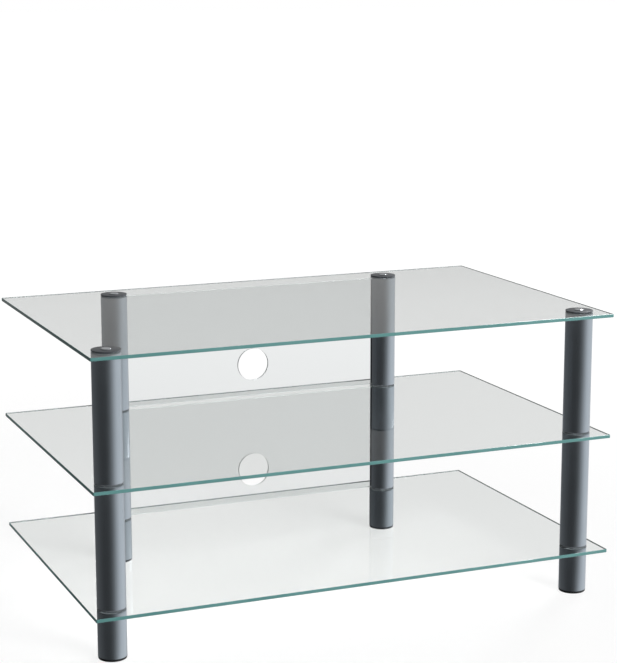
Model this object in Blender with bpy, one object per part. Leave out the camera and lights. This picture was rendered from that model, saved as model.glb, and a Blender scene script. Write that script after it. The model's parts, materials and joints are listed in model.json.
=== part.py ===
"""Glass television stand: three clear glass shelves clamped on four aluminium tube legs.

Each leg is a stack of three tube lengths with the shelves between them. One long bolt runs down the
leg and pulls the stack together. Grey flanged plugs close the tube ends and keep metal off the glass.
A levelling foot screws into the black plug at the bottom of each leg. Two upright glass panels stand
in slots of the rear tubes.

Sizes are in metres. The origin is on the floor under the middle of the shelves, +Y is the back.
"""

import math

import bmesh
import bpy
from mathutils import Matrix

# Shelves
SHELF_WIDTH = 0.980
SHELF_DEPTH = 0.600
SHELF_GLASS = 0.006
SHELF_CORNER_RADIUS = 0.002
GLASS_ARRIS = 0.0006
BOLT_HOLE_IN_GLASS = 0.010

# Where the legs stand, from the shelf edges to the leg axes
FRONT_LEG_SIDE_INSET = 0.042
FRONT_LEG_EDGE_INSET = 0.052
REAR_LEG_EDGE_INSET = 0.052
REAR_LEG_SPACING = 0.568

# Leg tubes
TUBE_DIAMETER = 0.050
TUBE_WALL = 0.002
FOOT_TUBE_LENGTH = 0.0775
LOWER_TUBE_LENGTH = 0.2095
UPPER_TUBE_LENGTH = 0.216

# End plugs of the tubes, cup shaped
FLANGE_THICKNESS = 0.0008
PLUG_FLOOR = 0.0035
PLUG_SKIRT_WALL = 0.0025
PLUG_DEPTH = 0.012

# Tie bolt and the disc under its head
BOLT_DIAMETER = 0.008
BOLT_HEAD_DIAMETER = 0.018
BOLT_HEAD_RIM = 0.0010
BOLT_HEAD_DOME = 0.0018
BOLT_THREAD_LENGTH = 0.012
TOP_DISC_THICKNESS = 0.0015
TOP_DISC_CHAMFER = 0.0004

# Levelling foot: a pad turned by hand, on a stud that screws into the foot plug
STUD_DIAMETER = 0.008
STUD_HEAD_DIAMETER = 0.013
STUD_HEAD_THICKNESS = 0.003
STUD_THREAD_KEPT = 0.008
FOOT_TRAVEL = 0.010
BOLT_TO_STUD = 0.002
PAD_DIAMETER = 0.049
PAD_THICKNESS = 0.003
PAD_FLOOR = 0.0015
PAD_RIM_RADIUS = 0.0012
PAD_BOSS_DIAMETER = 0.022
PAD_BOSS_HEIGHT = 0.005
FOOT_PLUG_BOSS_WALL = 0.007
FOOT_PLUG_SKIRT = 0.020

# Rear panels
PANEL_GLASS = 0.005
PANEL_CORNER_RADIUS = 0.002
PANEL_IN_TUBE = 0.007
PANEL_STEP = 0.0004
CABLE_HOLE_DIAMETER = 0.064
CABLE_HOLE_ABOVE_SHELF = 0.065

# Clearances
SEAT_GAP = 0.0003
SPIGOT_GAP = 0.0003
BOLT_GAP = 0.0004
THREAD_GAP = 0.0003
TURNING_GAP = 0.0005
SLOT_GAP = 0.0003
CUT_OVERRUN = 0.005
MERGE_DISTANCE = 0.000001

# Sides of the round shapes
TUBE_SIDES = 28
PLUG_SIDES = 16
DISC_SIDES = 24
PAD_SIDES = 20
BOLT_SIDES = 16
STUD_SIDES = 12
GLASS_HOLE_SIDES = 16
CABLE_HOLE_SIDES = 32
CORNER_STEPS = 3
DOME_STEPS = 3
RIM_STEPS = 2
SHARP_ANGLE = math.radians(35)

# Heights, built up from the floor
COLLAR = FLANGE_THICKNESS + 2 * SEAT_GAP
FOOT_FLANGE_BASE = PAD_THICKNESS + SEAT_GAP
FOOT_TUBE_BASE = FOOT_FLANGE_BASE + FLANGE_THICKNESS + SEAT_GAP
BOTTOM_SHELF_BASE = FOOT_TUBE_BASE + FOOT_TUBE_LENGTH + COLLAR
LOWER_TUBE_BASE = BOTTOM_SHELF_BASE + SHELF_GLASS + COLLAR
MIDDLE_SHELF_BASE = LOWER_TUBE_BASE + LOWER_TUBE_LENGTH + COLLAR
UPPER_TUBE_BASE = MIDDLE_SHELF_BASE + SHELF_GLASS + COLLAR
TOP_SHELF_BASE = UPPER_TUBE_BASE + UPPER_TUBE_LENGTH + COLLAR
TOP_DISC_BASE = TOP_SHELF_BASE + SHELF_GLASS + SEAT_GAP
BOLT_HEAD_BASE = TOP_DISC_BASE + TOP_DISC_THICKNESS + SEAT_GAP

# Radii that several pieces share
TUBE_RADIUS = TUBE_DIAMETER / 2
BORE_RADIUS = TUBE_RADIUS - TUBE_WALL
SPIGOT_RADIUS = BORE_RADIUS * math.cos(math.pi / TUBE_SIDES) - SPIGOT_GAP
BOLT_RADIUS = BOLT_DIAMETER / 2
STUD_RADIUS = STUD_DIAMETER / 2
STUD_HEAD_RADIUS = STUD_HEAD_DIAMETER / 2
BOLT_HOLE_RADIUS = (BOLT_RADIUS + BOLT_GAP) / math.cos(math.pi / PLUG_SIDES)

# Levelling foot, heights above the floor
STUD_HEAD_BASE = PAD_FLOOR + SEAT_GAP
STUD_HEAD_TOP = STUD_HEAD_BASE + STUD_HEAD_THICKNESS
BOSS_TOP = PAD_THICKNESS + PAD_BOSS_HEIGHT
RECESS_TOP = BOSS_TOP + SEAT_GAP
STUD_TOP = RECESS_TOP + STUD_THREAD_KEPT + FOOT_TRAVEL
BOLT_END = STUD_TOP + BOLT_TO_STUD
FOOT_PLUG_TOP = BOLT_END + BOLT_THREAD_LENGTH

# Leg axes
FRONT_LEG_X = SHELF_WIDTH / 2 - FRONT_LEG_SIDE_INSET
FRONT_LEG_Y = FRONT_LEG_EDGE_INSET - SHELF_DEPTH / 2
REAR_LEG_X = REAR_LEG_SPACING / 2
REAR_LEG_Y = SHELF_DEPTH / 2 - REAR_LEG_EDGE_INSET
LEGS = {
    "front_left": (-FRONT_LEG_X, FRONT_LEG_Y),
    "front_right": (FRONT_LEG_X, FRONT_LEG_Y),
    "rear_left": (-REAR_LEG_X, REAR_LEG_Y),
    "rear_right": (REAR_LEG_X, REAR_LEG_Y),
}

PANEL_WIDTH = REAR_LEG_SPACING - 2 * (TUBE_RADIUS - PANEL_IN_TUBE)
UPSIDE_DOWN = (math.pi, 0.0, 0.0)
UPRIGHT = (math.pi / 2, 0.0, 0.0)


def clear_scene():
    """Remove whatever the scene holds."""
    for thing in list(bpy.data.objects):
        bpy.data.objects.remove(thing, do_unlink=True)


def finish(name, colour, roughness, metallic=0.0, transmission=0.0):
    """A Principled material in linear colour values."""
    material = bpy.data.materials.new(name)
    material.use_nodes = True
    shader = material.node_tree.nodes["Principled BSDF"]
    shader.inputs["Base Color"].default_value = (*colour, 1.0)
    shader.inputs["Roughness"].default_value = roughness
    shader.inputs["Metallic"].default_value = metallic
    shader.inputs["Transmission Weight"].default_value = transmission
    return material


def mesh_of(name, shape, material=None):
    """Turn a bmesh into a mesh with smooth round walls and sharp corners. A cutter has no material."""
    bmesh.ops.recalc_face_normals(shape, faces=shape.faces)
    mesh = bpy.data.meshes.new(name)
    shape.to_mesh(mesh)
    shape.free()
    mesh.shade_smooth()
    mesh.set_sharp_from_angle(angle=SHARP_ANGLE)
    if material:
        mesh.materials.append(material)
    return mesh


def place(name, mesh, location=(0.0, 0.0, 0.0), rotation=(0.0, 0.0, 0.0), parent=None):
    """Put a mesh into the scene as one named piece."""
    piece = bpy.data.objects.new(name, mesh)
    piece.location = location
    piece.rotation_euler = rotation
    piece.parent = parent
    bpy.context.scene.collection.objects.link(piece)
    return piece


def cut(piece, cutter):
    """Take the cutter's volume out of a piece."""
    modifier = piece.modifiers.new("cut_" + cutter.name, "BOOLEAN")
    modifier.operation = "DIFFERENCE"
    modifier.solver = "EXACT"
    modifier.object = cutter


def helper(cutter):
    """Mark a cutter, which shows as wire and is not a piece of the stand."""
    cutter.hide_render = True
    cutter.display_type = "WIRE"
    return cutter


def turned(name, profile, sides, material):
    """Turn a profile of (radius, height) points about Z. Ends on the axis close the shape."""
    shape = bmesh.new()
    points = [shape.verts.new((radius, 0.0, height)) for radius, height in profile]
    following = points[1:]
    if profile[0][0] > 0.0:
        following = following + points[:1]
    edges = [shape.edges.new(pair) for pair in zip(points, following)]
    bmesh.ops.spin(
        shape,
        geom=points + edges,
        cent=(0.0, 0.0, 0.0),
        axis=(0.0, 0.0, 1.0),
        angle=2 * math.pi,
        steps=sides,
        use_merge=True,
    )
    bmesh.ops.remove_doubles(shape, verts=shape.verts, dist=MERGE_DISTANCE)
    return mesh_of(name, shape, material)


def arc(centre, radius, start, stop, steps):
    """Points (radius, height) along a circular arc, angles in degrees."""
    angles = [math.radians(start + (stop - start) * step / steps) for step in range(steps + 1)]
    return [(centre[0] + radius * math.cos(a), centre[1] + radius * math.sin(a)) for a in angles]


def glass_sheet(name, width, depth, thickness, corner_radius, material):
    """A flat sheet with rounded corners and ground arrises, its middle at the origin."""
    shape = bmesh.new()
    bmesh.ops.create_cube(shape, size=1.0, matrix=Matrix.Diagonal((width, depth, thickness, 1.0)))
    corners = [e for e in shape.edges if abs(e.verts[0].co.z - e.verts[1].co.z) > thickness / 2]
    bmesh.ops.bevel(
        shape,
        geom=corners,
        offset=corner_radius,
        segments=CORNER_STEPS,
        profile=0.5,
        affect="EDGES",
    )
    arrises = [e for e in shape.edges if abs(e.verts[0].co.z + e.verts[1].co.z) > thickness / 2]
    bmesh.ops.bevel(shape, geom=arrises, offset=GLASS_ARRIS, segments=1, affect="EDGES")
    return mesh_of(name, shape, material)


def upright_cylinder(shape, radius, sides, x, y, bottom, top):
    """Add a closed cylinder along Z to a bmesh."""
    bmesh.ops.create_cone(
        shape,
        cap_ends=True,
        segments=sides,
        radius1=radius,
        radius2=radius,
        depth=top - bottom,
        matrix=Matrix.Translation((x, y, (bottom + top) / 2)),
    )


def panel_cutter(name, bottom, top):
    """A box that clears a rear panel's glass on every side, between two heights."""
    shape = bmesh.new()
    width = PANEL_WIDTH + 2 * SLOT_GAP
    depth = PANEL_GLASS + 2 * SLOT_GAP
    size = Matrix.Diagonal((width, depth, top - bottom, 1.0))
    bmesh.ops.create_cube(shape, size=1.0, matrix=size)
    cutter = place(name, mesh_of(name, shape), (0.0, REAR_LEG_Y, (bottom + top) / 2))
    return helper(cutter)


def make_shelves(glass):
    """Three equal shelves, each drilled for the four tie bolts."""
    drill = bmesh.new()
    for x, y in LEGS.values():
        upright_cylinder(
            drill,
            BOLT_HOLE_IN_GLASS / 2,
            GLASS_HOLE_SIDES,
            x,
            y,
            BOTTOM_SHELF_BASE - CUT_OVERRUN,
            TOP_SHELF_BASE + SHELF_GLASS + CUT_OVERRUN,
        )
    cutter = helper(place("shelf_drill", mesh_of("shelf_drill", drill)))
    sheet = glass_sheet(
        "shelf", SHELF_WIDTH, SHELF_DEPTH, SHELF_GLASS, SHELF_CORNER_RADIUS, glass
    )
    bases = {
        "bottom_shelf": BOTTOM_SHELF_BASE,
        "middle_shelf": MIDDLE_SHELF_BASE,
        "top_shelf": TOP_SHELF_BASE,
    }
    for name, base in bases.items():
        cut(place(name, sheet, (0.0, 0.0, base + SHELF_GLASS / 2)), cutter)


def make_panel(name, tube_base, tube_length, shelf_top, glass):
    """One rear panel with its cable hole. It returns the cutter for the notches in the plugs."""
    bottom = tube_base + PANEL_STEP
    top = tube_base + tube_length - PANEL_STEP
    middle = (bottom + top) / 2
    sheet = glass_sheet(
        name, PANEL_WIDTH, top - bottom, PANEL_GLASS, PANEL_CORNER_RADIUS, glass
    )
    panel = place(name, sheet, (0.0, REAR_LEG_Y, middle), UPRIGHT)
    drill = bmesh.new()
    reach = PANEL_GLASS / 2 + CUT_OVERRUN
    upright_cylinder(drill, CABLE_HOLE_DIAMETER / 2, CABLE_HOLE_SIDES, 0.0, 0.0, -reach, reach)
    cutter = place(
        name + "_drill",
        mesh_of(name + "_drill", drill),
        (0.0, REAR_LEG_Y, shelf_top + CABLE_HOLE_ABOVE_SHELF),
        UPRIGHT,
    )
    cut(panel, helper(cutter))
    return panel_cutter(name + "_notch", bottom - SEAT_GAP, top + SEAT_GAP)


def make_slot_cutter():
    """The cutter for the slots along the rear tubes, past their ends."""
    upper_end = UPPER_TUBE_BASE + UPPER_TUBE_LENGTH
    return panel_cutter("tube_slot", LOWER_TUBE_BASE - CUT_OVERRUN, upper_end + CUT_OVERRUN)


def tube_mesh(name, length, aluminium):
    """A tube standing on the origin."""
    profile = [
        (BORE_RADIUS, length),
        (TUBE_RADIUS, length),
        (TUBE_RADIUS, 0.0),
        (BORE_RADIUS, 0.0),
    ]
    return turned(name, profile, TUBE_SIDES, aluminium)


def plug_mesh(nylon):
    """A cup that fits a tube end, with its flange's outer face on the origin and its skirt upwards."""
    floor = FLANGE_THICKNESS + PLUG_FLOOR
    skirt = FLANGE_THICKNESS + PLUG_DEPTH
    inside = SPIGOT_RADIUS - PLUG_SKIRT_WALL
    profile = [
        (BOLT_HOLE_RADIUS, floor),
        (inside, floor),
        (inside, skirt),
        (SPIGOT_RADIUS, skirt),
        (SPIGOT_RADIUS, FLANGE_THICKNESS),
        (TUBE_RADIUS, FLANGE_THICKNESS),
        (TUBE_RADIUS, 0.0),
        (BOLT_HOLE_RADIUS, 0.0),
    ]
    return turned("end_plug", profile, PLUG_SIDES, nylon)


def foot_plug_mesh(nylon):
    """The lowest plug, heights above the floor: it takes the bolt from above and the stud from below."""
    flange_top = FOOT_FLANGE_BASE + FLANGE_THICKNESS
    thread = (max(BOLT_RADIUS, STUD_RADIUS) + THREAD_GAP) / math.cos(math.pi / PLUG_SIDES)
    recess = (PAD_BOSS_DIAMETER / 2 + TURNING_GAP) / math.cos(math.pi / PLUG_SIDES)
    boss = thread + FOOT_PLUG_BOSS_WALL
    floor = RECESS_TOP + PLUG_FLOOR
    inside = SPIGOT_RADIUS - PLUG_SKIRT_WALL
    profile = [
        (thread, FOOT_PLUG_TOP),
        (boss, FOOT_PLUG_TOP),
        (boss, floor),
        (inside, floor),
        (inside, flange_top + FOOT_PLUG_SKIRT),
        (SPIGOT_RADIUS, flange_top + FOOT_PLUG_SKIRT),
        (SPIGOT_RADIUS, flange_top),
        (TUBE_RADIUS, flange_top),
        (TUBE_RADIUS, FOOT_FLANGE_BASE),
        (recess, FOOT_FLANGE_BASE),
        (recess, RECESS_TOP),
        (thread, RECESS_TOP),
    ]
    return turned("foot_plug", profile, PLUG_SIDES, nylon)


def disc_mesh(dark_metal):
    """The flat disc on the top shelf, standing on the origin."""
    profile = [
        (BOLT_HOLE_RADIUS, TOP_DISC_THICKNESS),
        (TUBE_RADIUS - TOP_DISC_CHAMFER, TOP_DISC_THICKNESS),
        (TUBE_RADIUS, TOP_DISC_THICKNESS - TOP_DISC_CHAMFER),
        (TUBE_RADIUS, 0.0),
        (BOLT_HOLE_RADIUS, 0.0),
    ]
    return turned("top_disc", profile, DISC_SIDES, dark_metal)


def bolt_mesh(steel):
    """The tie bolt with the underside of its domed head on the origin."""
    head = BOLT_HEAD_DIAMETER / 2
    sphere = (head**2 + BOLT_HEAD_DOME**2) / (2 * BOLT_HEAD_DOME)
    edge_angle = math.degrees(math.acos(head / sphere))
    dome_centre = (0.0, BOLT_HEAD_RIM + BOLT_HEAD_DOME - sphere)
    dome = arc(dome_centre, sphere, 90.0, edge_angle, DOME_STEPS)
    dome[0] = (0.0, BOLT_HEAD_RIM + BOLT_HEAD_DOME)
    length = BOLT_HEAD_BASE - BOLT_END
    profile = dome + [(head, 0.0), (BOLT_RADIUS, 0.0), (BOLT_RADIUS, -length), (0.0, -length)]
    return turned("tie_bolt", profile, BOLT_SIDES, steel)


def stud_mesh(steel):
    """The levelling foot's stud with its round head, heights above the floor."""
    profile = [
        (0.0, STUD_TOP),
        (STUD_RADIUS, STUD_TOP),
        (STUD_RADIUS, STUD_HEAD_TOP),
        (STUD_HEAD_RADIUS, STUD_HEAD_TOP),
        (STUD_HEAD_RADIUS, STUD_HEAD_BASE),
        (0.0, STUD_HEAD_BASE),
    ]
    return turned("foot_stud", profile, STUD_SIDES, steel)


def pad_mesh(nylon):
    """The levelling foot's pad: a rounded disc with a boss that holds the stud's head."""
    pad = PAD_DIAMETER / 2
    boss = PAD_BOSS_DIAMETER / 2
    neck = (STUD_RADIUS + TURNING_GAP) / math.cos(math.pi / PAD_SIDES)
    pocket = (STUD_HEAD_RADIUS + TURNING_GAP) / math.cos(math.pi / PAD_SIDES)
    pocket_top = STUD_HEAD_TOP + SEAT_GAP
    rim = arc((pad - PAD_RIM_RADIUS, PAD_RIM_RADIUS), PAD_RIM_RADIUS, 0.0, -90.0, RIM_STEPS)
    profile = [
        (0.0, PAD_FLOOR),
        (pocket, PAD_FLOOR),
        (pocket, pocket_top),
        (neck, pocket_top),
        (neck, BOSS_TOP),
        (boss, BOSS_TOP),
        (boss, PAD_THICKNESS),
        (pad, PAD_THICKNESS),
    ]
    return turned("foot_pad", profile + rim + [(0.0, 0.0)], PAD_SIDES, nylon)


def make_legs(finishes, slot, notches):
    """Stack the pieces of the four legs. Rear legs get the slots and notches for the panels."""
    aluminium, grey_nylon, black_nylon, dark_metal, chrome, steel = finishes
    lengths = {"foot": FOOT_TUBE_LENGTH, "lower": LOWER_TUBE_LENGTH, "upper": UPPER_TUBE_LENGTH}
    bases = {"foot": FOOT_TUBE_BASE, "lower": LOWER_TUBE_BASE, "upper": UPPER_TUBE_BASE}
    tubes = {stage: tube_mesh(stage + "_tube", lengths[stage], aluminium) for stage in lengths}
    plug = plug_mesh(grey_nylon)
    foot_plug = foot_plug_mesh(black_nylon)
    disc = disc_mesh(dark_metal)
    bolt = bolt_mesh(chrome)
    stud = stud_mesh(steel)
    pad = pad_mesh(black_nylon)

    for leg, (x, y) in LEGS.items():
        axis = place(leg + "_leg", None, (x, y, 0.0))
        place(leg + "_foot_pad", pad, parent=axis)
        place(leg + "_foot_stud", stud, parent=axis)
        place(leg + "_foot_plug", foot_plug, parent=axis)
        place(leg + "_tie_bolt", bolt, (0.0, 0.0, BOLT_HEAD_BASE), parent=axis)
        place(leg + "_top_disc", disc, (0.0, 0.0, TOP_DISC_BASE), parent=axis)
        for stage, length in lengths.items():
            base = bases[stage]
            tube = place(f"{leg}_{stage}_tube", tubes[stage], (0.0, 0.0, base), parent=axis)
            top_face = base + length + SEAT_GAP + FLANGE_THICKNESS
            plugs = [
                place(
                    f"{leg}_{stage}_tube_top_plug",
                    plug,
                    (0.0, 0.0, top_face),
                    UPSIDE_DOWN,
                    parent=axis,
                )
            ]
            if stage == "foot":
                continue
            base_face = base - SEAT_GAP - FLANGE_THICKNESS
            plugs.append(
                place(f"{leg}_{stage}_tube_base_plug", plug, (0.0, 0.0, base_face), parent=axis)
            )
            if leg.startswith("rear"):
                cut(tube, slot)
                for end in plugs:
                    cut(end, notches[stage])


def main():
    clear_scene()
    glass = finish("clear_glass", (0.80, 0.88, 0.86), 0.02, transmission=0.95)
    aluminium = finish("satin_aluminium", (0.30, 0.31, 0.33), 0.32, metallic=1.0)
    grey_nylon = finish("grey_nylon", (0.15, 0.16, 0.17), 0.45)
    black_nylon = finish("black_nylon", (0.012, 0.012, 0.013), 0.45)
    dark_metal = finish("grey_anodised", (0.065, 0.067, 0.072), 0.40, metallic=0.6)
    chrome = finish("chromed_steel", (0.62, 0.63, 0.65), 0.08, metallic=1.0)
    steel = finish("zinc_plated_steel", (0.42, 0.43, 0.44), 0.35, metallic=1.0)

    make_shelves(glass)
    notches = {
        "lower": make_panel(
            "lower_rear_panel",
            LOWER_TUBE_BASE,
            LOWER_TUBE_LENGTH,
            BOTTOM_SHELF_BASE + SHELF_GLASS,
            glass,
        ),
        "upper": make_panel(
            "upper_rear_panel",
            UPPER_TUBE_BASE,
            UPPER_TUBE_LENGTH,
            MIDDLE_SHELF_BASE + SHELF_GLASS,
            glass,
        ),
    }
    slot = make_slot_cutter()
    finishes = (aluminium, grey_nylon, black_nylon, dark_metal, chrome, steel)
    make_legs(finishes, slot, notches)


main()
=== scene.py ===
"""Looks of a glass television stand: three clear shelves clamped on four satin aluminium legs.

The sections follow the stand as it is put together, from the levelling feet up to the domed bolts,
and end with the studio that it is photographed in. Lengths are in metres, +Y is the back.
"""

import json
import math

import bmesh
import bpy
import mathutils
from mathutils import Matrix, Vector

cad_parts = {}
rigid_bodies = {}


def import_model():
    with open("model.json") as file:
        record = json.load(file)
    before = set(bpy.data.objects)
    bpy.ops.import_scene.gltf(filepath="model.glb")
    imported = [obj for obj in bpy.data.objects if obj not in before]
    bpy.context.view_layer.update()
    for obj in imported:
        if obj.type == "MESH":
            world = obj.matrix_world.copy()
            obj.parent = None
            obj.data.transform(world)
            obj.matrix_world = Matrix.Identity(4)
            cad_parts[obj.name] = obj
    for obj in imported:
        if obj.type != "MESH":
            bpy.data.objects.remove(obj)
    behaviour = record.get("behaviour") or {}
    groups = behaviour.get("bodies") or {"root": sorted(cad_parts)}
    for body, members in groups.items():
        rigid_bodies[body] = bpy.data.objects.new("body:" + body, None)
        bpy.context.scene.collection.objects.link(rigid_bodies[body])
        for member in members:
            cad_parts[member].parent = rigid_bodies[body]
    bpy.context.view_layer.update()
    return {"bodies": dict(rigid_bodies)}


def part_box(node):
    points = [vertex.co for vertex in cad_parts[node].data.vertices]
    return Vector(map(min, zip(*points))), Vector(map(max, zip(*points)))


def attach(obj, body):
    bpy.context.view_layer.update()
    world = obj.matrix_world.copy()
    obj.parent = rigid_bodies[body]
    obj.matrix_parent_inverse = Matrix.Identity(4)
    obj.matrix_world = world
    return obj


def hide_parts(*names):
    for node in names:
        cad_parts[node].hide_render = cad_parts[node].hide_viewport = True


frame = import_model()


# Levelling pads: black nylon discs with a rounded rim that the whole stand rests on. They are injection
# moulded, with a boss that holds the head of the stud and grooves underneath that grip the floor.
MM = 0.001
LEGS = ("front_left", "front_right", "rear_left", "rear_right")
SMOOTH_BELOW = math.radians(32)
EDGE_STEPS = 2
NEAR = 0.01 * MM
MERGE_WITHIN = 0.001 * MM

PAD_RADIUS = 24.5 * MM
PAD_HEIGHT = 3.0 * MM
PAD_RIM_RADIUS = 1.2 * MM
PAD_RIM_STEPS = 5
PAD_TOP_EDGE = 0.4 * MM
PAD_BOSS_RADIUS = 11.0 * MM
PAD_BOSS_TOP = 8.0 * MM
PAD_BOSS_EDGE = 0.6 * MM
PAD_BOSS_STEPS = 3
PAD_POCKET_RADIUS = 7.1 * MM
PAD_POCKET_FLOOR = 1.5 * MM
PAD_POCKET_TOP = 5.1 * MM
PAD_NECK_RADIUS = 4.6 * MM
PAD_MIDDLE_RADIUS = 5.2 * MM
PAD_GROOVES = (10.0 * MM, 15.0 * MM, 20.0 * MM)
PAD_GROOVE_WIDTH = 1.6 * MM
PAD_GROOVE_DEPTH = 0.5 * MM
PAD_SIDES = 72

NYLON_BLACK = "#17181A"
NYLON_SCUFFED = "#26282B"
NYLON_IOR = 1.53
NYLON_GLOSSIEST = 0.42
NYLON_DULLEST = 0.62
NYLON_GRAIN = 0.7 * MM
NYLON_MOTTLE = 9.0 * MM
NYLON_PIT_DEPTH = 0.1 * MM
NYLON_PIT_STRENGTH = 0.35
SOFT_DETAIL = 2.0
FINE_DETAIL = 3.0


def linear(colour):
    """An sRGB hex colour as linear red, green, blue and alpha."""
    parts = [int(colour[i : i + 2], 16) / 255 for i in (1, 3, 5)]
    return (*[c / 12.92 if c <= 0.04045 else ((c + 0.055) / 1.055) ** 2.4 for c in parts], 1.0)


def add(tree, kind, settings=None, inputs=None):
    """A shader node with its settings. An input that is given a socket is linked, any other is set."""
    node = tree.nodes.new("ShaderNode" + kind)
    for name, value in (settings or {}).items():
        setattr(node, name, value)
    for name, value in (inputs or {}).items():
        if isinstance(value, bpy.types.NodeSocket):
            tree.links.new(value, node.inputs[name])
        else:
            node.inputs[name].default_value = value
    return node


def new_finish(name):
    """An empty material and its node tree. Its object coordinates are metres in the stand's frame."""
    material = bpy.data.materials.new(name)
    material.use_nodes = True
    material.node_tree.nodes.clear()
    return material, material.node_tree


def show(tree, shader):
    """Send a shader to the surface."""
    add(tree, "OutputMaterial", inputs={"Surface": shader.outputs[0]})


def pick(kind, test):
    """Select those vertices, edges or faces in edit mode that pass a test, and nothing else."""
    bpy.context.tool_settings.mesh_select_mode = [k == kind for k in ("verts", "edges", "faces")]
    bpy.ops.mesh.select_all(action="DESELECT")
    mesh = bpy.context.edit_object.data
    shape = bmesh.from_edit_mesh(mesh)
    for item in getattr(shape, kind):
        if test(item):
            item.select_set(True)
    bmesh.update_edit_mesh(mesh)


def alone(piece):
    """Make a piece the only selected object."""
    bpy.ops.object.select_all(action="DESELECT")
    piece.select_set(True)
    bpy.context.view_layer.objects.active = piece


def turned(name, profile, sides, closed=False):
    """Draw a ring of edges through (radius, height) points about Z, as a lathe tool runs round the work.

    A closed profile joins its last ring to its first. An open one gets a flat face at its wide ends,
    and a last radius of nothing becomes a pole.
    """
    (radius, height), *rest = profile
    bpy.ops.object.select_all(action="DESELECT")
    bpy.ops.mesh.primitive_circle_add(vertices=sides, radius=radius, location=(0.0, 0.0, height))
    piece = bpy.context.object
    piece.name = name
    bpy.ops.object.transform_apply()
    bpy.ops.object.mode_set(mode="EDIT")
    bpy.ops.mesh.select_all(action="SELECT")
    for wider, higher in rest + [profile[0]] * closed:
        step = {"value": (0.0, 0.0, higher - height)}
        bpy.ops.mesh.extrude_region_move(TRANSFORM_OT_translate=step)
        if wider == 0.0:
            bpy.ops.mesh.merge(type="CENTER")
        elif wider != radius:
            bpy.ops.transform.resize(
                value=(wider / radius, wider / radius, 1.0), center_override=(0.0, 0.0, higher)
            )
        radius, height = wider, higher
    bpy.ops.mesh.select_all(action="SELECT")
    bpy.ops.mesh.remove_doubles(threshold=MERGE_WITHIN)
    bpy.ops.mesh.fill_holes(sides=0)
    bpy.ops.mesh.normals_make_consistent(inside=False)
    bpy.ops.object.mode_set(mode="OBJECT")
    return piece


def round_rings(piece, radius, height, offset, steps=EDGE_STEPS):
    """Round the ring of edges that runs round Z at a radius and a height."""

    def on_ring(edge):
        return all(
            abs(math.hypot(v.co.x, v.co.y) - radius) < NEAR and abs(v.co.z - height) < NEAR
            for v in edge.verts
        )

    alone(piece)
    bpy.ops.object.mode_set(mode="EDIT")
    pick("edges", on_ring)
    bpy.ops.mesh.bevel(offset=offset, segments=steps, affect="EDGES")
    bpy.ops.object.mode_set(mode="OBJECT")


def leg_axis(leg):
    """Where a leg stands."""
    low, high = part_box(leg + "_foot_pad")
    return (low.x + high.x) / 2, (low.y + high.y) / 2


def copy_to(master, name, x=0.0, y=0.0, z=0.0):
    """A copy with a mesh of its own, moved, with its place kept in the mesh."""
    alone(master)
    bpy.ops.object.duplicate(linked=False)
    piece = bpy.context.object
    piece.name = name
    bpy.ops.transform.translate(value=(x, y, z))
    bpy.ops.object.transform_apply()
    return piece


def fit(piece, body, node, slot, *finishes, smooth_below=SMOOTH_BELOW):
    """Give a piece its finishes, hang it on its body and let it stand for its CAD node."""
    alone(piece)
    bpy.ops.object.shade_smooth_by_angle(angle=smooth_below)
    for finish in finishes:
        piece.data.materials.append(finish)
    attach(piece, body)
    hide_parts(node)


def moulded_nylon(name, plain, scuffed):
    """Moulded nylon: the spark eroded mould leaves a fine even grain and a dull gloss.

    Real grain is about 0.2 mm; it is drawn at 0.7 mm so that it shows.
    """
    material, tree = new_finish(name)
    place = add(tree, "TexCoord").outputs["Object"]
    mottle = add(
        tree,
        "TexNoise",
        inputs={"Vector": place, "Scale": 1 / NYLON_MOTTLE, "Detail": FINE_DETAIL},
    )
    grain = add(
        tree,
        "TexNoise",
        inputs={"Vector": place, "Scale": 1 / NYLON_GRAIN, "Detail": SOFT_DETAIL},
    )
    tone = add(
        tree,
        "Mix",
        {"data_type": "RGBA"},
        {"Factor": mottle.outputs["Fac"], "A": linear(plain), "B": linear(scuffed)},
    )
    dull = add(
        tree,
        "MapRange",
        inputs={
            "Value": grain.outputs["Fac"],
            "To Min": NYLON_GLOSSIEST,
            "To Max": NYLON_DULLEST,
        },
    )
    pits = add(
        tree,
        "Bump",
        inputs={
            "Height": grain.outputs["Fac"],
            "Strength": NYLON_PIT_STRENGTH,
            "Distance": NYLON_PIT_DEPTH,
        },
    )
    show(
        tree,
        add(
            tree,
            "BsdfPrincipled",
            inputs={
                "Base Color": tone.outputs["Result"],
                "Roughness": dull.outputs["Result"],
                "IOR": NYLON_IOR,
                "Normal": pits.outputs["Normal"],
            },
        ),
    )
    return material


black_nylon = moulded_nylon("moulded_black_nylon", NYLON_BLACK, NYLON_SCUFFED)

underside = [(PAD_MIDDLE_RADIUS, 0.0)]
for middle in PAD_GROOVES:
    inner, outer = middle - PAD_GROOVE_WIDTH / 2, middle + PAD_GROOVE_WIDTH / 2
    underside += [
        (inner, 0.0),
        (inner, PAD_GROOVE_DEPTH),
        (outer, PAD_GROOVE_DEPTH),
        (outer, 0.0),
    ]
pad = turned(
    "pad",
    underside
    + [
        (PAD_RADIUS, 0.0),
        (PAD_RADIUS, PAD_HEIGHT),
        (PAD_BOSS_RADIUS, PAD_HEIGHT),
        (PAD_BOSS_RADIUS, PAD_BOSS_TOP),
        (PAD_NECK_RADIUS, PAD_BOSS_TOP),
        (PAD_NECK_RADIUS, PAD_POCKET_TOP),
        (PAD_POCKET_RADIUS, PAD_POCKET_TOP),
        (PAD_POCKET_RADIUS, PAD_POCKET_FLOOR),
    ],
    PAD_SIDES,
)
round_rings(pad, PAD_RADIUS, 0.0, PAD_RIM_RADIUS, PAD_RIM_STEPS)
round_rings(pad, PAD_RADIUS, PAD_HEIGHT, PAD_TOP_EDGE)
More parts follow.
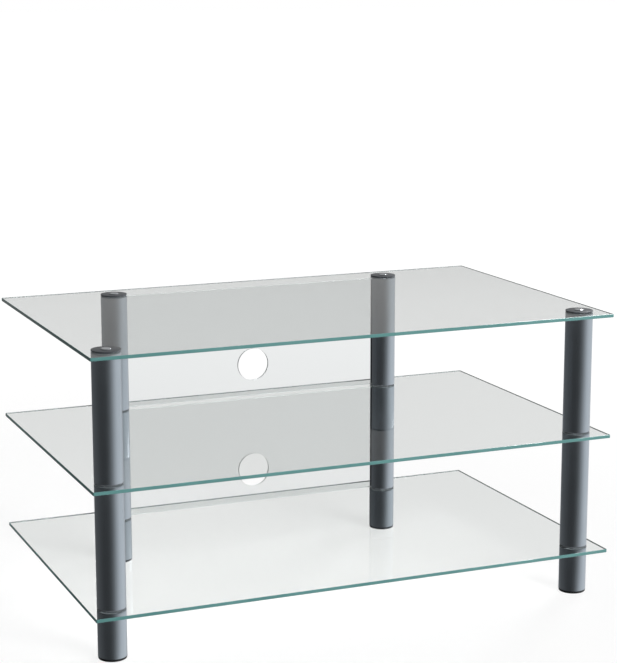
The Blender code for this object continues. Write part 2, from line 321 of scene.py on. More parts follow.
round_rings(pad, PAD_BOSS_RADIUS, PAD_BOSS_TOP, PAD_BOSS_EDGE, PAD_BOSS_STEPS)
for leg in LEGS:
    piece = copy_to(pad, leg + "_levelling_pad", *leg_axis(leg))
    fit(piece, leg + "_pad", leg + "_foot_pad", "black_nylon", black_nylon)
bpy.data.objects.remove(pad)


# Levelling studs: M8 steel screws, thread rolled and zinc plated, with a flat round head that the pad
# is moulded round. They show between pad and leg when a foot is screwed down.
STUD_CREST = 3.95 * MM
STUD_ROOT = 3.30 * MM
STUD_PITCH = 1.25 * MM
STUD_CREST_WIDTH = 0.16 * MM
STUD_SPARE_TURNS = 2
STUD_HEAD_RADIUS = 6.5 * MM
STUD_HEAD_HEIGHT = 3.0 * MM
STUD_HEAD_EDGE = 0.3 * MM
STUD_SIDES = 48
CUT_WITHIN = 0.0001 * MM

ZINC_BRIGHT = "#C9CDD0"
ZINC_DULL = "#A2A7AC"
ZINC_GLOSSIEST = 0.24
ZINC_DULLEST = 0.36
ZINC_SPANGLE = 3.0 * MM
ZINC_DETAIL = 4.0

# Zinc plate: thin, bluish white and slightly cloudy, with a soft metallic gloss.
zinc_plate, tree = new_finish("zinc_plated_steel")
place = add(tree, "TexCoord").outputs["Object"]
spangle = add(
    tree, "TexNoise", inputs={"Vector": place, "Scale": 1 / ZINC_SPANGLE, "Detail": ZINC_DETAIL}
)
tone = add(
    tree,
    "Mix",
    {"data_type": "RGBA"},
    {"Factor": spangle.outputs["Fac"], "A": linear(ZINC_DULL), "B": linear(ZINC_BRIGHT)},
)
gloss = add(
    tree,
    "MapRange",
    inputs={"Value": spangle.outputs["Fac"], "To Min": ZINC_DULLEST, "To Max": ZINC_GLOSSIEST},
)
show(
    tree,
    add(
        tree,
        "BsdfPrincipled",
        inputs={
            "Base Color": tone.outputs["Result"],
            "Metallic": 1.0,
            "Roughness": gloss.outputs["Result"],
        },
    ),
)


def combine(piece, tool, operation):
    """Join a tool's volume to a piece, or take it out of the piece, and put the tool away."""
    alone(piece)
    modifier = piece.modifiers.new("combine", "BOOLEAN")
    modifier.operation = operation
    modifier.solver = "EXACT"
    modifier.object = tool
    bpy.ops.object.modifier_apply(modifier="combine")
    bpy.data.objects.remove(tool)


stud_low, stud_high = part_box("front_left_foot_stud")
head_top = stud_low.z + STUD_HEAD_HEIGHT
thread_base = head_top - STUD_PITCH
turns = math.ceil((stud_high.z - thread_base) / STUD_PITCH) + STUD_SPARE_TURNS
# A turn and half a step lower, so that no point of the thread lies in the planes that cut it to length.
thread_start = thread_base - STUD_PITCH - STUD_PITCH / STUD_SIDES / 2
bpy.ops.object.select_all(action="DESELECT")
bpy.ops.mesh.primitive_circle_add(
    vertices=STUD_SIDES, radius=STUD_ROOT, location=(0.0, 0.0, thread_start)
)
thread = bpy.context.object
thread.name = "thread"
bpy.ops.object.transform_apply()
bpy.ops.object.mode_set(mode="EDIT")
pick("verts", lambda v: v.co.x < STUD_ROOT - NEAR)
bpy.ops.mesh.delete(type="VERT")
bpy.ops.mesh.select_all(action="SELECT")
depth = STUD_CREST - STUD_ROOT
flank = (STUD_PITCH - STUD_CREST_WIDTH) / 2
for out, up in ((depth, flank), (0.0, STUD_CREST_WIDTH), (-depth, flank)):
    bpy.ops.mesh.extrude_region_move(TRANSFORM_OT_translate={"value": (out, 0.0, up)})
bpy.ops.object.mode_set(mode="OBJECT")
helix = thread.modifiers.new("helix", "SCREW")
helix.screw_offset = STUD_PITCH
helix.iterations = turns
helix.steps = helix.render_steps = STUD_SIDES
helix.use_normal_calculate = True
bpy.ops.object.modifier_apply(modifier="helix")
bpy.ops.object.mode_set(mode="EDIT")
bpy.ops.mesh.select_all(action="SELECT")
bpy.ops.mesh.remove_doubles(threshold=MERGE_WITHIN)
for level, side in ((thread_base, 1.0), (stud_high.z, -1.0)):
    bpy.ops.mesh.select_all(action="SELECT")
    bpy.ops.mesh.bisect(
        plane_co=(0.0, 0.0, level),
        plane_no=(0.0, 0.0, side),
        use_fill=True,
        clear_inner=True,
        threshold=CUT_WITHIN,
    )
bpy.ops.mesh.select_all(action="SELECT")
bpy.ops.mesh.normals_make_consistent(inside=False)
bpy.ops.object.mode_set(mode="OBJECT")
stud = turned(
    "stud",
    [(STUD_HEAD_RADIUS, stud_low.z), (STUD_HEAD_RADIUS, head_top)],
    STUD_SIDES,
)
round_rings(stud, STUD_HEAD_RADIUS, head_top, STUD_HEAD_EDGE)
combine(stud, thread, "UNION")
for leg in LEGS:
    piece = copy_to(stud, leg + "_levelling_stud", *leg_axis(leg))
    fit(piece, leg + "_stud", leg + "_foot_stud", "zinc_plated_steel", zinc_plate)
bpy.data.objects.remove(stud)


# Foot sockets: nylon plugs pressed into the lowest tube ends. A threaded boss takes the stud from below
# and the tie bolt from above, and the flange shows as a thin black line under the tube.
TUBE_RADIUS = 25.0 * MM
SPIGOT_RADIUS = 22.55 * MM
FLANGE_THICKNESS = 0.8 * MM
FLANGE_EDGE = 0.2 * MM
PLUG_WALL = 2.5 * MM
PLUG_FLOOR = 3.5 * MM
SOCKET_SKIRT = 20.0 * MM
SOCKET_RECESS_RADIUS = 11.6 * MM
SOCKET_RECESS_TOP = 8.3 * MM
SOCKET_THREAD_RADIUS = 4.35 * MM
SOCKET_BOSS_RADIUS = 11.3 * MM
PLUG_SIDES = 72

socket_low, socket_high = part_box("front_left_foot_plug")
flange_top = socket_low.z + FLANGE_THICKNESS
socket_floor = SOCKET_RECESS_TOP + PLUG_FLOOR
foot_socket = turned(
    "foot_socket",
    [
        (SOCKET_THREAD_RADIUS, socket_high.z),
        (SOCKET_BOSS_RADIUS, socket_high.z),
        (SOCKET_BOSS_RADIUS, socket_floor),
        (SPIGOT_RADIUS - PLUG_WALL, socket_floor),
        (SPIGOT_RADIUS - PLUG_WALL, flange_top + SOCKET_SKIRT),
        (SPIGOT_RADIUS, flange_top + SOCKET_SKIRT),
        (SPIGOT_RADIUS, flange_top),
        (TUBE_RADIUS, flange_top),
        (TUBE_RADIUS, socket_low.z),
        (SOCKET_RECESS_RADIUS, socket_low.z),
        (SOCKET_RECESS_RADIUS, SOCKET_RECESS_TOP),
        (SOCKET_THREAD_RADIUS, SOCKET_RECESS_TOP),
    ],
    PLUG_SIDES,
    closed=True,
)
round_rings(foot_socket, TUBE_RADIUS, socket_low.z, FLANGE_EDGE)
for leg in LEGS:
    piece = copy_to(foot_socket, leg + "_foot_socket", *leg_axis(leg))
    fit(piece, "stand", leg + "_foot_plug", "black_nylon", black_nylon)
bpy.data.objects.remove(foot_socket)


# Leg tubes: three lengths of 50 mm aluminium tube to a leg, extruded, etched and anodised in a natural
# satin finish. The two upper lengths of a rear leg are slotted for the glass panels.
TUBE_WALL = 2.0 * MM
TUBE_END_EDGE = 0.35 * MM
TUBE_SIDES = 96
SLOT_CLEARANCE = 0.3 * MM
SLOT_OVERRUN = 4.0 * MM
STAGES = ("foot", "lower", "upper")

ALUMINIUM_LIGHT = "#B6C0C9"
ALUMINIUM_DARK = "#A8B2BB"
ALUMINIUM_GLOSSIEST = 0.34
ALUMINIUM_DULLEST = 0.44
DIE_LINE_WIDTH = 1.1 * MM
DIE_LINE_LENGTH = 240.0 * MM
DIE_LINE_SHARE = 0.6
ETCH_GRAIN = 0.9 * MM
ETCH_CLOUD = 35.0 * MM
ETCH_DEPTH = 0.1 * MM
ETCH_STRENGTH = 0.12

# Satin anodised aluminium: the etch leaves a fine matt grain, and the extrusion die faint lines along
# the tube. Both are drawn two to three times coarser than life so that they show.
satin_aluminium, tree = new_finish("satin_anodised_aluminium")
place = add(tree, "TexCoord").outputs["Object"]
drawn_out = add(
    tree,
    "Mapping",
    inputs={
        "Vector": place,
        "Scale": (1 / DIE_LINE_WIDTH, 1 / DIE_LINE_WIDTH, 1 / DIE_LINE_LENGTH),
    },
)
lines = add(
    tree,
    "TexNoise",
    inputs={"Vector": drawn_out.outputs["Vector"], "Scale": 1.0, "Detail": SOFT_DETAIL},
)
etch = add(
    tree, "TexNoise", inputs={"Vector": place, "Scale": 1 / ETCH_GRAIN, "Detail": SOFT_DETAIL}
)
cloud = add(
    tree, "TexNoise", inputs={"Vector": place, "Scale": 1 / ETCH_CLOUD, "Detail": SOFT_DETAIL}
)
tone = add(
    tree,
    "Mix",
    {"data_type": "RGBA"},
    {
        "Factor": lines.outputs["Fac"],
        "A": linear(ALUMINIUM_DARK),
        "B": linear(ALUMINIUM_LIGHT),
    },
)
matt = add(
    tree,
    "MapRange",
    inputs={
        "Value": cloud.outputs["Fac"],
        "To Min": ALUMINIUM_GLOSSIEST,
        "To Max": ALUMINIUM_DULLEST,
    },
)
relief = add(
    tree,
    "Math",
    {"operation": "MULTIPLY_ADD"},
    {0: lines.outputs["Fac"], 1: DIE_LINE_SHARE, 2: etch.outputs["Fac"]},
)
skin = add(
    tree,
    "Bump",
    inputs={
        "Height": relief.outputs["Value"],
        "Strength": ETCH_STRENGTH,
        "Distance": ETCH_DEPTH,
    },
)
show(
    tree,
    add(
        tree,
        "BsdfPrincipled",
        inputs={
            "Base Color": tone.outputs["Result"],
            "Metallic": 1.0,
            "Roughness": matt.outputs["Result"],
            "Normal": skin.outputs["Normal"],
        },
    ),
)


def panel_space(panel, clearance, overrun):
    """A block that takes in a rear panel with some clearance, and runs past its top and bottom."""
    low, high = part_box(panel)
    bpy.ops.object.select_all(action="DESELECT")
    bpy.ops.mesh.primitive_cube_add(
        size=1.0,
        location=(low + high) / 2,
        scale=(
            high.x - low.x + 2 * clearance,
            high.y - low.y + 2 * clearance,
            high.z - low.z + 2 * overrun,
        ),
    )
    bpy.ops.object.transform_apply()
    return bpy.context.object


for stage in STAGES:
    low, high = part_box(f"front_left_{stage}_tube")
    tube = turned(
        stage + "_tube",
        [
            (TUBE_RADIUS, low.z),
            (TUBE_RADIUS, high.z),
            (TUBE_RADIUS - TUBE_WALL, high.z),
            (TUBE_RADIUS - TUBE_WALL, low.z),
        ],
        TUBE_SIDES,
        closed=True,
    )
    round_rings(tube, TUBE_RADIUS, low.z, TUBE_END_EDGE)
    round_rings(tube, TUBE_RADIUS, high.z, TUBE_END_EDGE)
    for leg in LEGS:
        piece = copy_to(tube, f"{leg}_{stage}_leg_tube", *leg_axis(leg))
        if leg.startswith("rear") and stage != "foot":
            slot = panel_space(stage + "_rear_panel", SLOT_CLEARANCE, SLOT_OVERRUN)
            combine(piece, slot, "DIFFERENCE")
        fit(piece, "stand", f"{leg}_{stage}_tube", "satin_aluminium", satin_aluminium)
    bpy.data.objects.remove(tube)


# Collars: flanged cups of grey nylon pressed into every tube end but the lowest. Their flanges keep the
# metal off the glass and show as thin seams. In the rear legs the upper ones are notched, and the panels
# stand in the notches.
PLUG_DEPTH = 12.0 * MM
PLUG_BOLT_HOLE = 4.5 * MM
NOTCH_CLEARANCE = 0.3 * MM
NYLON_GREY = "#6B7176"
NYLON_GREY_SCUFFED = "#777D82"

grey_nylon = moulded_nylon("moulded_grey_nylon", NYLON_GREY, NYLON_GREY_SCUFFED)
collar = turned(
    "collar",
    [
        (PLUG_BOLT_HOLE, 0.0),
        (TUBE_RADIUS, 0.0),
        (TUBE_RADIUS, FLANGE_THICKNESS),
        (SPIGOT_RADIUS, FLANGE_THICKNESS),
        (SPIGOT_RADIUS, FLANGE_THICKNESS + PLUG_DEPTH),
        (SPIGOT_RADIUS - PLUG_WALL, FLANGE_THICKNESS + PLUG_DEPTH),
        (SPIGOT_RADIUS - PLUG_WALL, FLANGE_THICKNESS + PLUG_FLOOR),
        (PLUG_BOLT_HOLE, FLANGE_THICKNESS + PLUG_FLOOR),
    ],
    PLUG_SIDES,
    closed=True,
)
round_rings(collar, TUBE_RADIUS, FLANGE_THICKNESS, FLANGE_EDGE)
base_collar = copy_to(collar, "base_collar")
alone(collar)
bpy.ops.transform.mirror(constraint_axis=(False, False, True), center_override=(0.0, 0.0, 0.0))
bpy.ops.object.transform_apply()
bpy.ops.object.mode_set(mode="EDIT")
bpy.ops.mesh.select_all(action="SELECT")
bpy.ops.mesh.normals_make_consistent(inside=False)
bpy.ops.object.mode_set(mode="OBJECT")
for stage in STAGES:
    for end in ("top",) if stage == "foot" else ("top", "base"):
        for leg in LEGS:
            node = f"{leg}_{stage}_tube_{end}_plug"
            low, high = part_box(node)
            master, level = (collar, high.z) if end == "top" else (base_collar, low.z)
            piece = copy_to(master, f"{leg}_{stage}_{end}_collar", *leg_axis(leg), level)
            if leg.startswith("rear") and stage != "foot":
                notch = panel_space(stage + "_rear_panel", NOTCH_CLEARANCE, NOTCH_CLEARANCE)
                combine(piece, notch, "DIFFERENCE")
            fit(piece, "stand", node, "grey_nylon", grey_nylon)
bpy.data.objects.remove(collar)
bpy.data.objects.remove(base_collar)


# Shelves: three sheets of 6 mm clear float glass, cut, drilled for the four bolts, then ground and
# polished all round with a fine arris. Light that runs along inside the sheet comes out green at the edge.
Z_AXIS = 2
SHELVES = ("bottom", "middle", "top")
SHELF_CORNER = 2.0 * MM
CORNER_STEPS = 6
GLASS_ARRIS = 0.6 * MM
BOLT_HOLE_RADIUS = 5.0 * MM
HOLE_SIDES = 48
DRILL_LENGTH = 24.0 * MM
GLASS_SMOOTH_BELOW = math.radians(20)
FLAT_FACE = 0.99

# Common glass has an index of 1.52. That of the faces is lowered from there, until they mirror as
# little as the photographed ones do.
GLASS_IOR = 1.15
GLASS_TINT = "#F0F2F1"
EDGE_TEAL = "#6FA3A1"
EDGE_DEEP = "#5F9592"
# Seen from inside the sheet the edge is painted this grey: painted light in place of the view out through
# the edge.
EDGE_PAINTED_THROUGH_LIGHT = "#868E8E"
EDGE_IOR = 1.52
EDGE_GLOSSIEST = 0.08
EDGE_DULLEST = 0.2
EDGE_DEEP_BELOW = 0.45
EDGE_DRIFT = 70.0 * MM
POLISH_LINE = 0.9 * MM
POLISH_LENGTH = 300.0 * MM
POLISH_SHARE = 0.5


def clear_glass(name, tint):
    """Float glass: clear, dead flat and free of grain. It shows only its tint and a faint mirror."""
    material, tree = new_finish(name)
    show(
        tree,
        add(
            tree,
            "BsdfPrincipled",
            inputs={
                "Base Color": linear(tint),
                "Roughness": 0.0,
                "IOR": GLASS_IOR,
                "Transmission Weight": 1.0,
            },
        ),
    )
    return material


def glass_edge(name, through, dark, light, inside, glossiest, dullest):
    """A worked glass edge, with faint lines along it from the wheels. A sheet lies across its through axis.

    From inside the sheet one looks out through the edge. That side is painted another tone, painted light
    in place of what comes in through the edge.
    The lines are drawn several times coarser than life so that they show.
    """
    material, tree = new_finish(name)
    place = add(tree, "TexCoord").outputs["Object"]
    stretch = [1 / POLISH_LENGTH] * 3
    stretch[through] = 1 / POLISH_LINE
    along = add(tree, "Mapping", inputs={"Vector": place, "Scale": stretch})
    wheel = add(
        tree,
        "TexNoise",
        inputs={"Vector": along.outputs["Vector"], "Scale": 1.0, "Detail": FINE_DETAIL},
    )
    drift = add(
        tree, "TexNoise", inputs={"Vector": place, "Scale": 1 / EDGE_DRIFT, "Detail": SOFT_DETAIL}
    )
    blend = add(
        tree,
        "Math",
        {"operation": "MULTIPLY_ADD", "use_clamp": True},
        {0: wheel.outputs["Fac"], 1: POLISH_SHARE, 2: drift.outputs["Fac"]},
    )
    shade = add(
        tree,
        "MapRange",
        inputs={"Value": blend.outputs["Value"], "From Min": EDGE_DEEP_BELOW, "From Max": 1.0},
    )
    outside = add(
        tree,
        "Mix",
        {"data_type": "RGBA"},
        {"Factor": shade.outputs["Result"], "A": linear(dark), "B": linear(light)},
    )
    # Painted light: from inside the sheet the edge shows a fixed tone in place of the light that comes in
    # through it.
    side = add(tree, "NewGeometry")
    tone = add(
        tree,
        "Mix",
        {"data_type": "RGBA"},
        {
            "Factor": side.outputs["Backfacing"],
            "A": outside.outputs["Result"],
            "B": linear(inside),
        },
    )
    gloss = add(
        tree,
        "MapRange",
        inputs={"Value": wheel.outputs["Fac"], "To Min": glossiest, "To Max": dullest},
    )
    show(
        tree,
        add(
            tree,
            "BsdfPrincipled",
            inputs={
                "Base Color": tone.outputs["Result"],
                "Roughness": gloss.outputs["Result"],
                "IOR": EDGE_IOR,
            },
        ),
    )
    return material


# Shelf glass has a trace of green from the iron in the sand. Its polished edge is glossy and deep
# blue green.
float_glass = clear_glass("clear_float_glass", GLASS_TINT)
polished_edge = glass_edge(
    "polished_glass_edge",
    Z_AXIS,
    EDGE_DEEP,
    EDGE_TEAL,
    EDGE_PAINTED_THROUGH_LIGHT,
    EDGE_GLOSSIEST,
    EDGE_DULLEST,
)


def sheet(name, node, through, corner):
    """A sheet of glass in a CAD node's box, with rounded corners and ground arrises."""
    low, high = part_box(node)
    bpy.ops.object.select_all(action="DESELECT")
    bpy.ops.mesh.primitive_cube_add(size=1.0, location=(low + high) / 2, scale=high - low)
    piece = bpy.context.object
    piece.name = name
    bpy.ops.object.transform_apply()
    half = (high - low)[through] / 2
    middle = ((low + high) / 2)[through]
    bpy.ops.object.mode_set(mode="EDIT")
    pick("edges", lambda e: abs(e.verts[0].co[through] - e.verts[1].co[through]) > half)
    bpy.ops.mesh.bevel(offset=corner, segments=CORNER_STEPS, affect="EDGES")
    pick("edges", lambda e: abs(sum(v.co[through] for v in e.verts) / 2 - middle) > half / 2)
    bpy.ops.mesh.bevel(offset=GLASS_ARRIS, segments=EDGE_STEPS, affect="EDGES")
    bpy.ops.object.mode_set(mode="OBJECT")
    return piece


def drill(piece, radius, location, turn):
    """Drill a round hole through a sheet, straight down or turned from there."""
    bpy.ops.object.select_all(action="DESELECT")
    bpy.ops.mesh.primitive_cylinder_add(
        vertices=HOLE_SIDES, radius=radius, depth=DRILL_LENGTH, location=location, rotation=turn
    )
    combine(piece, bpy.context.object, "DIFFERENCE")


def glaze(piece, node, through, glass, edge):
    """Fit a sheet, with the edge finish round it and in its holes.

    It casts no shadow, and mirrors leave it out.
    """
    fit(piece, "stand", node, "clear_glass", glass, edge, smooth_below=GLASS_SMOOTH_BELOW)
    for face in piece.data.polygons:
        face.material_index = 0 if abs(face.normal[through]) > FLAT_FACE else 1
    piece.visible_shadow = piece.visible_glossy = False


shelf = sheet("shelf", "bottom_shelf", Z_AXIS, SHELF_CORNER)
shelf_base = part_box("bottom_shelf")[0].z
for leg in LEGS:
    drill(shelf, BOLT_HOLE_RADIUS, (*leg_axis(leg), shelf_base), turn=(0.0, 0.0, 0.0))
for level in SHELVES:
    node = level + "_shelf"
    piece = copy_to(shelf, level + "_glass_shelf", z=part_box(node)[0].z - shelf_base)
    glaze(piece, node, Z_AXIS, float_glass, polished_edge)
bpy.data.objects.remove(shelf)


# Rear panels: two upright sheets of 5 mm float glass, ground at the edges and held in the slots of the
# rear legs. Each has a round hole for cables.
Y_AXIS = 1
PANEL_CORNER = 2.0 * MM
CABLE_HOLE_RADIUS = 32.0 * MM
CABLE_HOLE_ABOVE_SHELF = 65.0 * MM
PANEL_TINT = "#E8EAEA"
PANEL_EDGE_DARK = "#C4C9C9"
PANEL_EDGE_LIGHT = "#D2D6D6"
# Seen from inside the sheet the ground edge is painted this grey: painted light in place of the view out
# through it.
PANEL_EDGE_PAINTED_THROUGH_LIGHT = "#B4B9B9"
PANEL_EDGE_GLOSSIEST = 0.4
PANEL_EDGE_DULLEST = 0.6

# Panel glass is a little greyer than the shelves. Its ground edge is matt and milky, as the belt
# leaves it.
panel_glass = clear_glass("grey_float_glass", PANEL_TINT)
ground_edge = glass_edge(
    "ground_glass_edge",
    Y_AXIS,
    PANEL_EDGE_DARK,
    PANEL_EDGE_LIGHT,
    PANEL_EDGE_PAINTED_THROUGH_LIGHT,
    PANEL_EDGE_GLOSSIEST,
    PANEL_EDGE_DULLEST,
)
for storey, shelf_below in (("lower", "bottom_shelf"), ("upper", "middle_shelf")):
    node = storey + "_rear_panel"
    low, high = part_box(node)
    piece = sheet(storey + "_glass_panel", node, Y_AXIS, PANEL_CORNER)
    hole = (
        (low.x + high.x) / 2,
        (low.y + high.y) / 2,
        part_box(shelf_below)[1].z + CABLE_HOLE_ABOVE_SHELF,
    )
    drill(piece, CABLE_HOLE_RADIUS, hole, turn=(math.pi / 2, 0.0, 0.0))
    glaze(piece, node, Y_AXIS, panel_glass, ground_edge)


# Cap discs: turned aluminium washers as wide as the legs, anodised dark grey, that spread the pull of
# the bolts over the top glass. The lathe leaves fine rings on their faces.
DISC_HOLE_RADIUS = 4.5 * MM
DISC_EDGE = 0.4 * MM
DISC_SIDES = 96
DISC_GREY = "#4B4F53"
DISC_LIGHT = "#5A5E63"
DISC_METALLIC = 0.5
DISC_GLOSSIEST = 0.3
DISC_DULLEST = 0.4
LATHE_RING = 0.8 * MM
LATHE_DEPTH = 0.05 * MM
LATHE_STRENGTH = 0.15
LATHE_WANDER = 0.4
HALF_WAVES_PER_UNIT = 20 / math.pi

disc_low, disc_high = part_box("front_left_top_disc")
disc = turned(
    "disc",
    [
        (DISC_HOLE_RADIUS, disc_low.z),
        (TUBE_RADIUS, disc_low.z),
        (TUBE_RADIUS, disc_high.z),
        (DISC_HOLE_RADIUS, disc_high.z),
    ],
    DISC_SIDES,
    closed=True,
)
round_rings(disc, TUBE_RADIUS, disc_high.z, DISC_EDGE)
for leg in LEGS:
    # Dark anodised aluminium: satin, with faint rings about the leg's own axis, so each disc has its
    # own. The rings are drawn several times wider than life so that they show.
    x, y = leg_axis(leg)
    dark_disc, tree = new_finish(leg + "_dark_anodised_aluminium")
    place = add(tree, "TexCoord").outputs["Object"]
    centred = add(
        tree,
        "Mapping",
        inputs={"Vector": place, "Location": (-x, -y, 0.0), "Scale": (1.0, 1.0, 0.0)},
    )
    rings = add(
        tree,
        "TexWave",
        {"wave_type": "RINGS", "rings_direction": "Z"},
        {
            "Vector": centred.outputs["Vector"],
            "Scale": 1 / (HALF_WAVES_PER_UNIT * LATHE_RING),
            "Distortion": LATHE_WANDER,
        },
    )
    tone = add(
        tree,
        "Mix",
        {"data_type": "RGBA"},
        {"Factor": rings.outputs["Fac"], "A": linear(DISC_GREY), "B": linear(DISC_LIGHT)},
    )
    gloss = add(
        tree,
        "MapRange",
        inputs={"Value": rings.outputs["Fac"], "To Min": DISC_GLOSSIEST, "To Max": DISC_DULLEST},
    )
    lathe = add(
        tree,
        "Bump",
        inputs={
            "Height": rings.outputs["Fac"],
            "Strength": LATHE_STRENGTH,
            "Distance": LATHE_DEPTH,
        },
    )
    show(
        tree,
        add(
            tree,
            "BsdfPrincipled",
            inputs={
                "Base Color": tone.outputs["Result"],
                "Metallic": DISC_METALLIC,
                "Roughness": gloss.outputs["Result"],
                "Normal": lathe.outputs["Normal"],
            },
        ),
    )
    piece = copy_to(disc, leg + "_cap_disc", x, y)
    fit(piece, "stand", leg + "_top_disc", "grey_anodised", dark_disc)
bpy.data.objects.remove(disc)


# Tie bolts: long M8 steel bolts that run down the legs and pull tubes and glass together. Their low domed
# heads are polished and chrome plated.
HEAD_RADIUS = 9.0 * MM
HEAD_RIM = 1.0 * MM
HEAD_DOME = 1.8 * MM
HEAD_EDGE = 0.6 * MM
HEAD_EDGE_STEPS = 4
SHANK_RADIUS = 4.0 * MM
SHANK_CHAMFER = 0.6 * MM
DOME_RINGS = 9
BOLT_SIDES = 72
CHROME = "#D6D9DC"
CHROME_HAZE = "#C6CACE"
CHROME_GLOSSIEST = 0.05
CHROME_DULLEST = 0.12
CHROME_WIPE = 2.5 * MM

# Chrome plate: a mirror with a cold tint and a faint haze from wiping.
chrome_plate, tree = new_finish("chrome_plated_steel")
place = add(tree, "TexCoord").outputs["Object"]
wipe = add(
    tree, "TexNoise", inputs={"Vector": place, "Scale": 1 / CHROME_WIPE, "Detail": FINE_DETAIL}
)
tone = add(
    tree,
    "Mix",
    {"data_type": "RGBA"},
    {"Factor": wipe.outputs["Fac"], "A": linear(CHROME_HAZE), "B": linear(CHROME)},
)
gloss = add(
    tree,
    "MapRange",
    inputs={"Value": wipe.outputs["Fac"], "To Min": CHROME_GLOSSIEST, "To Max": CHROME_DULLEST},
)
show(
    tree,
    add(
        tree,
        "BsdfPrincipled",
        inputs={
            "Base Color": tone.outputs["Result"],
            "Metallic": 1.0,
            "Roughness": gloss.outputs["Result"],
        },
    ),
)

bolt_low, bolt_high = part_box("front_left_tie_bolt")
head_base = bolt_high.z - HEAD_RIM - HEAD_DOME
sphere = (HEAD_RADIUS**2 + HEAD_DOME**2) / (2 * HEAD_DOME)
dome = []
for ring in range(1, DOME_RINGS):
    radius = HEAD_RADIUS * (1 - ring / DOME_RINGS)
    dome.append((radius, bolt_high.z - sphere + math.sqrt(sphere**2 - radius**2)))
bolt = turned(
    "bolt",
    [
        (SHANK_RADIUS - SHANK_CHAMFER, bolt_low.z),
        (SHANK_RADIUS, bolt_low.z + SHANK_CHAMFER),
        (SHANK_RADIUS, head_base),
        (HEAD_RADIUS, head_base),
        (HEAD_RADIUS, head_base + HEAD_RIM),
    ]
    + dome
    + [(0.0, bolt_high.z)],
    BOLT_SIDES,
)
round_rings(bolt, HEAD_RADIUS, head_base + HEAD_RIM, HEAD_EDGE, HEAD_EDGE_STEPS)
for leg in LEGS:
    piece = copy_to(bolt, leg + "_domed_bolt", *leg_axis(leg))
    fit(piece, "stand", leg + "_tie_bolt", "chromed_steel", chrome_plate)
bpy.data.objects.remove(bolt)


# Studio: a white floor under soft light. The floor stays under the lowest pad when a foot is screwed down,
# and is clear from below. A round room that only reflections see gives metal and glass their shades.
FLOOR_SIZE = 80.0
FLOOR_NEAR = 0.4
FLOOR_FAR = 3.0
# The floor's glow is painted darker near the stand (painted shade) and rises to white between FLOOR_NEAR
# and FLOOR_FAR.
FLOOR_PAINTED_SHADE_LEVEL = 0.82
FLOOR_WHITE_FAR = 0.99
FLOOR_ALBEDO = "#6E6E6E"
ROOM_RADIUS = 30.0
ROOM_SIDES = 48
ROOM_RINGS = 24
ROOM_WALL_TOP = math.sin(math.radians(24.0))
ROOM_CEILING = math.sin(math.radians(50.0))
ROOM_CEILING_SHADE = 0.50
LAMP_AIM = mathutils.Vector((0.0, 0.0, 0.3))
KEY_PLACE = (2.6, -6.0, 4.2)
KEY_SIZE = 3.5
KEY_POWER = 520.0
TOP_PLACE = (2.2, 1.4, 2.8)
TOP_SIZE = 0.7
TOP_POWER = 34.0
AMBIENT = 0.14
VIEW_FROM = (-1.30265, -3.15626, 1.1586)
VIEW_TURN = (78.8189, 0.0753, -22.6982)
VIEW_REACH = 200.0
FOCAL_PX = 1873.25
IMAGE_HEIGHT_PX = 663.0
SENSOR = 36.0

# The room's shade round the stand, from the camera's side through its right, back and left.
ROOM_SHADES = (
    (0.00, 0.06),
    (0.05, 0.11),
    (0.10, 0.26),
    (0.16, 0.58),
    (0.22, 0.92),
    (0.30, 1.00),
    (0.40, 0.98),
    (0.44, 0.60),
    (0.47, 0.37),
    (0.54, 0.37),
    (0.58, 0.24),
    (0.62, 0.17),
    (0.68, 0.14),
    (0.74, 0.12),
    (0.82, 0.08),
    (0.90, 0.06),
)


def seen(tree):
    """One for rays that the eye follows, straight, mirrored or through glass, and nothing for the rest."""
    ray = add(tree, "LightPath")
    mirrored = add(
        tree,
        "Math",
        {"operation": "MAXIMUM"},
        {0: ray.outputs["Is Glossy Ray"], 1: ray.outputs["Is Transmission Ray"]},
    )
    either = add(
        tree,
        "Math",
        {"operation": "MAXIMUM"},
        {0: ray.outputs["Is Camera Ray"], 1: mirrored.outputs["Value"]},
    )
    return either.outputs["Value"]


bpy.ops.object.select_all(action="DESELECT")
bpy.ops.mesh.primitive_plane_add(size=FLOOR_SIZE)
floor = bpy.context.object
floor.name = "floor"
for leg in LEGS:
    bpy.ops.object.constraint_add(type="FLOOR")
    under = floor.constraints[-1]
    under.target = frame["bodies"][leg + "_pad"]
    under.floor_location = "FLOOR_NEGATIVE_Z"

# White floor: matt paper that takes the stand's real soft shadow. Its glow is also painted darker near the
# stand, a painted shade, and rises to pure white further out.
white_floor, tree = new_finish("white_floor")
place = add(tree, "TexCoord").outputs["Object"]
away = add(tree, "VectorMath", {"operation": "LENGTH"}, {0: place})
# Painted shade: the glow is dimmest near the stand and rises to white further out.
white = add(
    tree,
    "MapRange",
    inputs={
        "Value": away.outputs["Value"],
        "From Min": FLOOR_NEAR,
        "From Max": FLOOR_FAR,
        "To Min": FLOOR_PAINTED_SHADE_LEVEL,
        "To Max": FLOOR_WHITE_FAR,
    },
)
level = add(tree, "Math", {"operation": "MULTIPLY"}, {0: seen(tree), 1: white.outputs["Result"]})
glow = add(tree, "Emission", inputs={"Strength": level.outputs["Value"]})
paper = add(tree, "BsdfDiffuse", inputs={"Color": linear(FLOOR_ALBEDO)})
from_above = add(tree, "AddShader", inputs={0: glow.outputs[0], 1: paper.outputs[0]})
from_below = add(tree, "BsdfTransparent")
side = add(tree, "NewGeometry")
show(
    tree,
    add(
        tree,
        "MixShader",
        inputs={0: side.outputs["Backfacing"], 1: from_above.outputs[0], 2: from_below.outputs[0]},
    ),
)
floor.data.materials.append(white_floor)
floor.visible_glossy = False

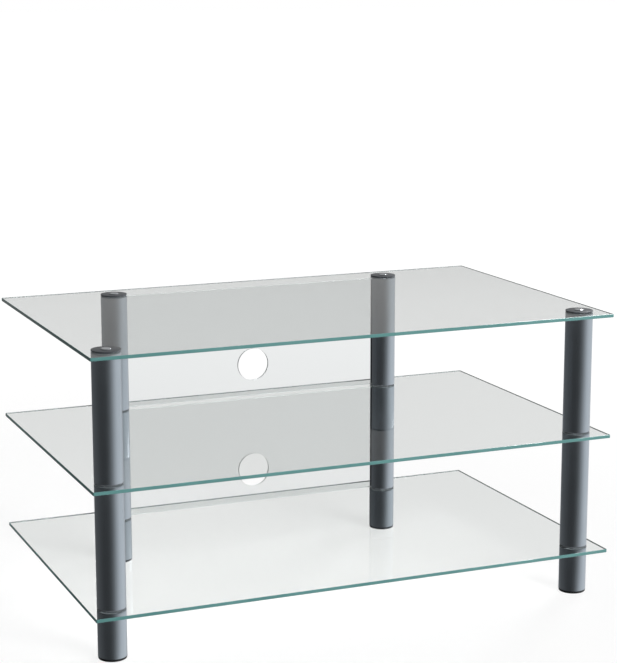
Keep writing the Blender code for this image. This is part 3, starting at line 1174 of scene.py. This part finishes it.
# Reflected room: walls from dark behind the camera to white on its right, under an even grey ceiling.
bpy.ops.object.select_all(action="DESELECT")
bpy.ops.mesh.primitive_uv_sphere_add(
    segments=ROOM_SIDES, ring_count=ROOM_RINGS, radius=ROOM_RADIUS
)
room = bpy.context.object
room.name = "reflected_room"
room_shade, tree = new_finish("reflected_room")
place = add(tree, "TexCoord").outputs["Object"]
facing = add(
    tree,
    "Mapping",
    inputs={"Vector": place, "Rotation": (0.0, 0.0, -math.pi / 2 - math.radians(VIEW_TURN[2]))},
)
around = add(
    tree, "TexGradient", {"gradient_type": "RADIAL"}, {"Vector": facing.outputs["Vector"]}
)
walls = add(tree, "ValToRGB", inputs={"Fac": around.outputs["Fac"]})
stops = walls.color_ramp.elements
while len(stops) < len(ROOM_SHADES):
    stops.new(ROOM_SHADES[len(stops)][0])
for stop, (position, shade) in zip(stops, ROOM_SHADES):
    stop.position = position
    stop.color = (shade, shade, shade, 1.0)
height = add(tree, "SeparateXYZ", inputs={"Vector": place})
ceiling = add(
    tree,
    "MapRange",
    {"interpolation_type": "SMOOTHSTEP"},
    {
        "Value": height.outputs["Z"],
        "From Min": ROOM_RADIUS * ROOM_WALL_TOP,
        "From Max": ROOM_RADIUS * ROOM_CEILING,
    },
)
room_tone = add(
    tree,
    "Mix",
    {"data_type": "RGBA"},
    {
        "Factor": ceiling.outputs["Result"],
        "A": walls.outputs["Color"],
        "B": (ROOM_CEILING_SHADE, ROOM_CEILING_SHADE, ROOM_CEILING_SHADE, 1.0),
    },
)
show(tree, add(tree, "Emission", inputs={"Color": room_tone.outputs["Result"]}))
room.data.materials.append(room_shade)
room.visible_camera = room.visible_diffuse = room.visible_transmission = False
room.visible_volume_scatter = room.visible_shadow = False


def soft_light(name, power, size, location, mirrored):
    """A square soft box aimed at the stand, which metal and glass may mirror or not."""
    bpy.ops.object.light_add(type="AREA", location=location)
    lamp = bpy.context.object
    lamp.name = name
    lamp.data.energy = power
    lamp.data.size = size
    lamp.rotation_euler = (LAMP_AIM - lamp.location).to_track_quat("-Z", "Y").to_euler()
    lamp.visible_glossy = mirrored


soft_light("key_light", KEY_POWER, KEY_SIZE, KEY_PLACE, mirrored=False)
soft_light("top_light", TOP_POWER, TOP_SIZE, TOP_PLACE, mirrored=True)

# The world is white to the eye and lights the stand only a little.
world = bpy.data.worlds.new("white_room")
bpy.context.scene.world = world
world.use_nodes = True
tree = world.node_tree
tree.nodes.clear()
level = add(tree, "MapRange", inputs={"Value": seen(tree), "To Min": AMBIENT, "To Max": 1.0})
sky = add(
    tree,
    "Background",
    inputs={"Color": (1.0, 1.0, 1.0, 1.0), "Strength": level.outputs["Result"]},
)
add(tree, "OutputWorld", inputs={"Surface": sky.outputs[0]})

bpy.ops.object.camera_add(location=VIEW_FROM, rotation=[math.radians(a) for a in VIEW_TURN])
camera = bpy.context.object
camera.data.sensor_width = SENSOR
camera.data.lens = FOCAL_PX * SENSOR / IMAGE_HEIGHT_PX
camera.data.clip_end = VIEW_REACH
bpy.context.scene.camera = camera
bpy.context.scene.view_settings.view_transform = "Standard"
